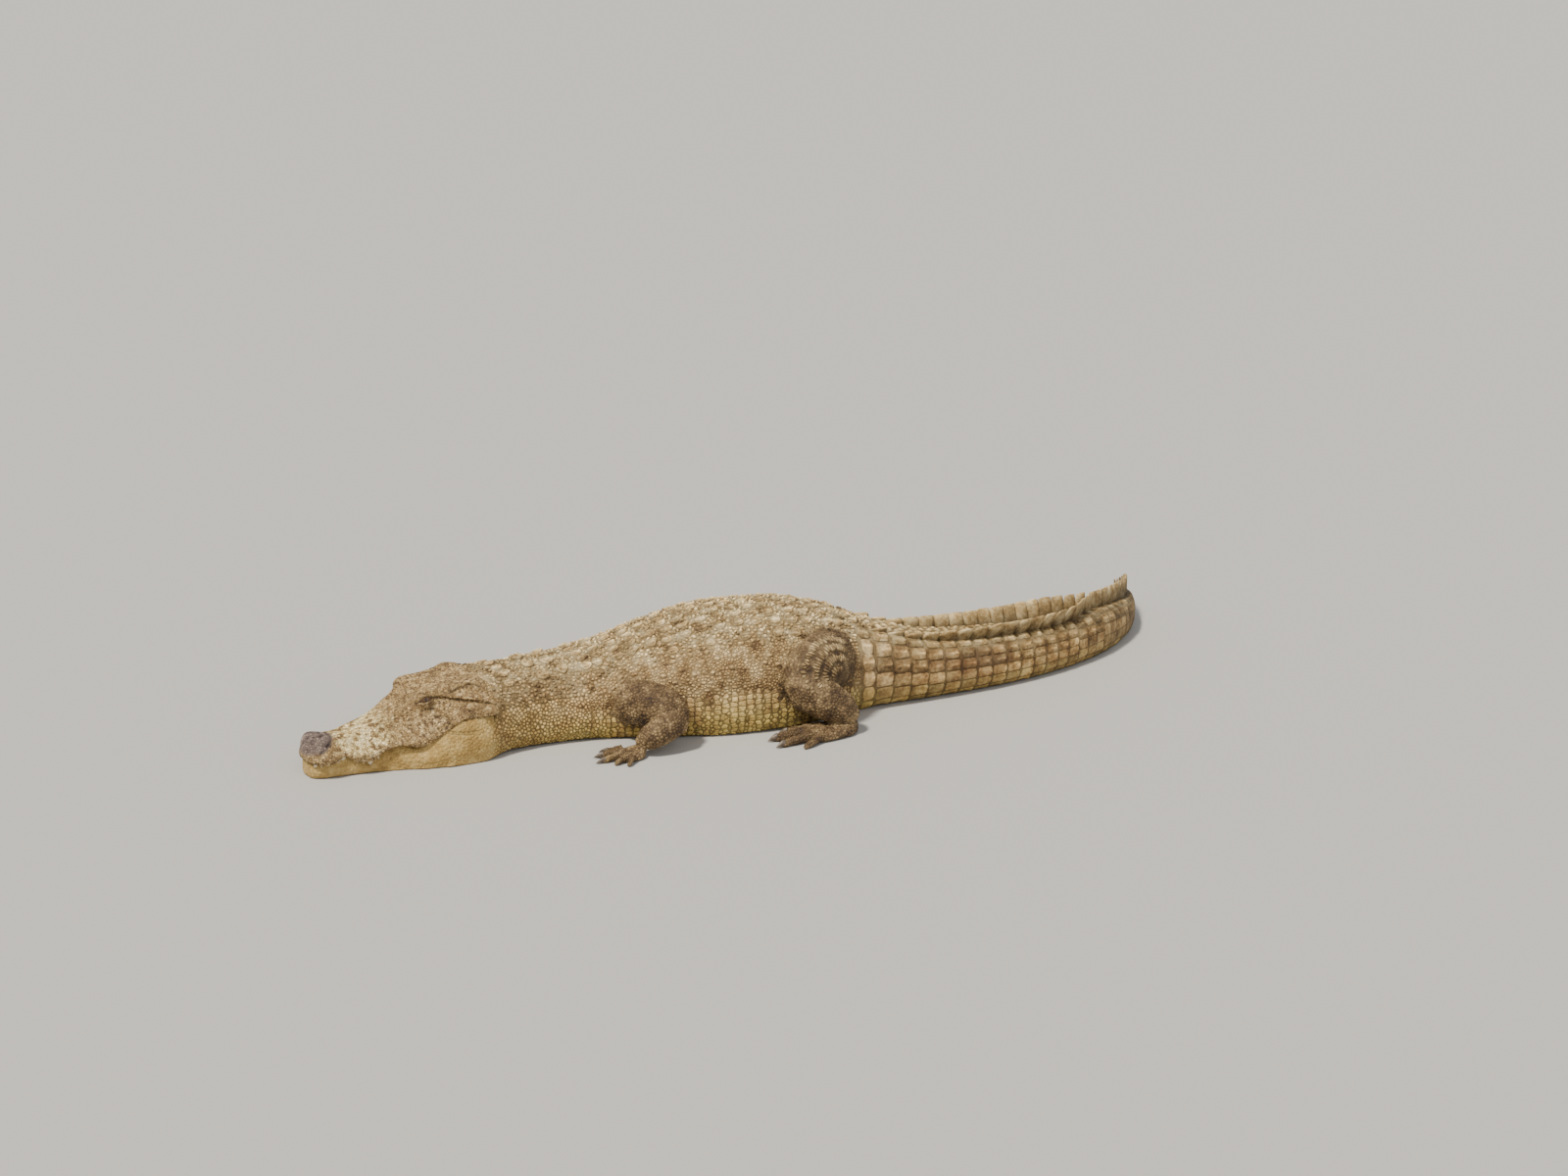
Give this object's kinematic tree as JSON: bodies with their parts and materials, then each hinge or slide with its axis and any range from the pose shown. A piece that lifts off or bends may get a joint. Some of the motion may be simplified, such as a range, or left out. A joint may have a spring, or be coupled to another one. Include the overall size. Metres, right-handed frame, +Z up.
{
  "type": "crocodile",
  "caption": "Life-size still model of a mugger crocodile lying on its belly, mouth shut, legs folded beside it and tail curving away.",
  "frame": {"origin": "on the floor under the middle of the model's bounding box", "axes": "+X towards the tail along the trunk, -X towards the head, -Y the animal's left, +Z up"},
  "size_m": [2.4636, 1.0298, 0.284],
  "materials": {
    "hide_back": "dull scaly hide",
    "hide_jaw": "dull smooth hide",
    "hide_leg": "dull scaly hide",
    "eye": "wet gloss",
    "claw": "worn horn"
  },
  "bodies": {
    "root": {"upper_head": "hide_back", "lower_jaw": "hide_jaw", "neck": "hide_back", "trunk": "hide_back", "tail_1": "hide_back", "tail_2": "hide_back", "tail_3": "hide_back", "tail_4": "hide_back", "upper_arm_left": "hide_leg", "forearm_left": "hide_leg", "hand_left": "hide_leg", "thigh_left": "hide_leg", "shank_left": "hide_leg", "foot_left": "hide_leg", "upper_arm_right": "hide_leg", "forearm_right": "hide_leg", "hand_right": "hide_leg", "thigh_right": "hide_leg", "shank_right": "hide_leg", "foot_right": "hide_leg", "eye_left": "eye", "eye_right": "eye", "claw_hand_left_1": "claw", "claw_hand_left_2": "claw", "claw_hand_left_3": "claw", "claw_hand_right_1": "claw", "claw_hand_right_2": "claw", "claw_hand_right_3": "claw", "claw_foot_left_1": "claw", "claw_foot_left_2": "claw", "claw_foot_left_3": "claw", "claw_foot_right_1": "claw", "claw_foot_right_2": "claw", "claw_foot_right_3": "claw"}
  },
  "joints": []
}
